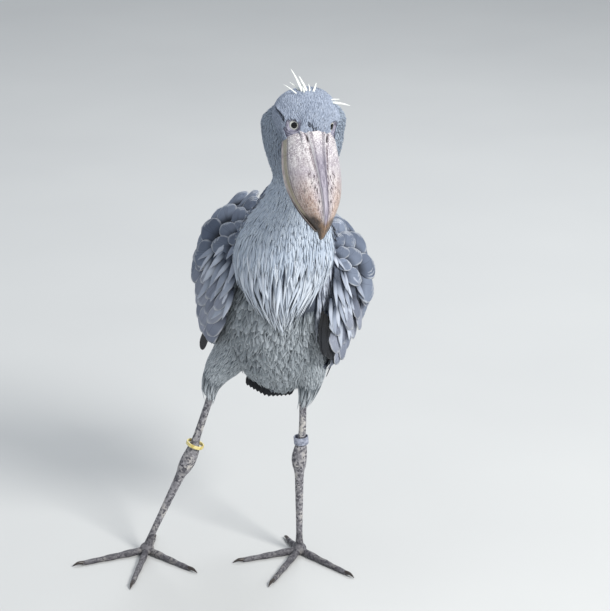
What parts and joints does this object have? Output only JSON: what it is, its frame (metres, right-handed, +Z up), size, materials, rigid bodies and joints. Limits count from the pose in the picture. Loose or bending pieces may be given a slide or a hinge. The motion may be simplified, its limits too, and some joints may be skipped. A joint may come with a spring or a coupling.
{
  "type": "standing shoebill",
  "caption": "Life-size standing shoebill with a huge hooked bill, drooped wings, a long-plumed breast and long legs, one stepping out to the side.",
  "frame": {"origin": "on the floor, under the middle of the bounding box", "axes": "+Z up; the bird faces -Y, so its left side is towards +X"},
  "size_m": [0.6946, 0.6433, 1.2356],
  "materials": {
    "feather_pale": "soft pale grey feathers of the head, neck and breast",
    "feather_body": "soft grey feathers of the trunk and thighs",
    "feather_slate": "slate-blue wing feathers",
    "feather_dark": "dark tail feathers and flight feathers",
    "bill": "dull pinkish horn, mottled",
    "eye": "wet, pale yellow-white iris round a black pupil",
    "leg_skin": "grey scaly leg skin",
    "claw": "dark horn",
    "ring_grey": "worn grey leg ring",
    "ring_yellow": "pale yellow leg ring"
  },
  "bodies": {
    "root": {"bill_lower": "bill", "bill_upper": "bill", "breast": "feather_pale", "claw_left_hallux": "claw", "claw_left_inner": "claw", "claw_left_middle": "claw", "claw_left_outer": "claw", "claw_right_hallux": "claw", "claw_right_inner": "claw", "claw_right_middle": "claw", "claw_right_outer": "claw", "eye_left": "eye", "eye_right": "eye", "foot_left": "leg_skin", "foot_right": "leg_skin", "head": "feather_pale", "leg_ring_left": "ring_grey", "leg_ring_right": "ring_yellow", "neck": "feather_pale", "shank_left": "leg_skin", "shank_right": "leg_skin", "tail": "feather_dark", "tarsus_left": "leg_skin", "tarsus_right": "leg_skin", "thigh_left": "feather_body", "thigh_right": "feather_body", "toe_left_hallux": "leg_skin", "toe_left_inner": "leg_skin", "toe_left_middle": "leg_skin", "toe_left_outer": "leg_skin", "toe_right_hallux": "leg_skin", "toe_right_inner": "leg_skin", "toe_right_middle": "leg_skin", "toe_right_outer": "leg_skin", "torso": "feather_body", "wing_left": "feather_slate", "wing_right": "feather_slate"}
  },
  "joints": []
}
